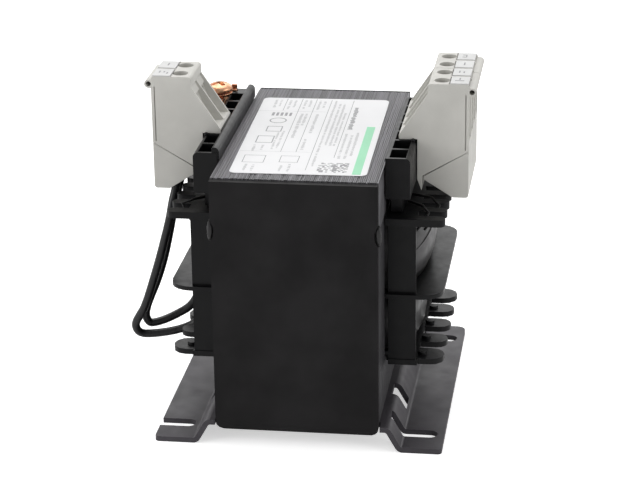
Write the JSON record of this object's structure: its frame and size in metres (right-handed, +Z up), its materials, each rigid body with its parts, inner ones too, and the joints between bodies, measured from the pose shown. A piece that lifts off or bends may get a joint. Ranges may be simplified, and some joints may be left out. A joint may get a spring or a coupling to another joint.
{
  "type": "mains transformer",
  "caption": "Laminated-core mains transformer on a folded foot plate, with a two-chamber bobbin and screw terminal blocks on both sides.",
  "frame": {"origin": "under the middle of the overall box, on the face the feet stand on", "axes": "+X along the stack of sheets, towards the four-pole side; +Y from the front leaf to the rear leaf; +Z up"},
  "size_m": [0.0996, 0.0886, 0.0967],
  "materials": {
    "core_lamination": "lacquered sheet edges, satin",
    "frame_black": "smooth satin black",
    "plate_black": "satin grey-black",
    "moulding_black": "moulded, slight sheen",
    "coil_tape": "black tape over copper wire",
    "coil_lacquer": "lacquered winding",
    "housing_grey": "light warm grey moulding",
    "zinc": "zinc plated",
    "contact_brass": "tinned brass",
    "tag_white": "white marker",
    "copper": "copper plated steel",
    "lead_black": "smooth insulation",
    "wire_enamel": "dark enamelled copper wire",
    "label_white": "printed film"
  },
  "bodies": {
    "root": {"block_left_1_cage": "zinc", "block_left_1_screw": "zinc", "block_left_1_strip": "contact_brass", "block_left_1_tag": "tag_white", "block_left_2_cage": "zinc", "block_left_2_screw": "zinc", "block_left_2_strip": "contact_brass", "block_left_2_tag": "tag_white", "block_left_cap": "housing_grey", "block_left_housing": "housing_grey", "block_right_front_1_cage": "zinc", "block_right_front_1_screw": "zinc", "block_right_front_1_strip": "contact_brass", "block_right_front_1_tag": "tag_white", "block_right_front_2_cage": "zinc", "block_right_front_2_screw": "zinc", "block_right_front_2_strip": "contact_brass", "block_right_front_2_tag": "tag_white", "block_right_front_cap": "housing_grey", "block_right_front_housing": "housing_grey", "block_right_rear_1_cage": "zinc", "block_right_rear_1_screw": "zinc", "block_right_rear_1_strip": "contact_brass", "block_right_rear_1_tag": "tag_white", "block_right_rear_2_cage": "zinc", "block_right_rear_2_screw": "zinc", "block_right_rear_2_strip": "contact_brass", "block_right_rear_2_tag": "tag_white", "block_right_rear_cap": "housing_grey", "block_right_rear_housing": "housing_grey", "bobbin": "moulding_black", "clamping_frame": "frame_black", "core_e_stack": "core_lamination", "core_i_stack": "core_lamination", "earth_screw": "copper", "earth_strap": "copper", "earth_washer": "copper", "lead_front": "lead_black", "lead_rear": "lead_black", "mounting_plate": "plate_black", "rating_label": "label_white", "terminal_rail_left": "moulding_black", "terminal_rail_right": "moulding_black", "weld_bead_front_left": "frame_black", "weld_bead_front_right": "frame_black", "weld_bead_rear_left": "frame_black", "weld_bead_rear_right": "frame_black", "winding_end_left": "wire_enamel", "winding_end_right_front": "wire_enamel", "winding_end_right_rear": "wire_enamel", "winding_lower": "coil_lacquer", "winding_upper": "coil_tape"}
  },
  "joints": []
}
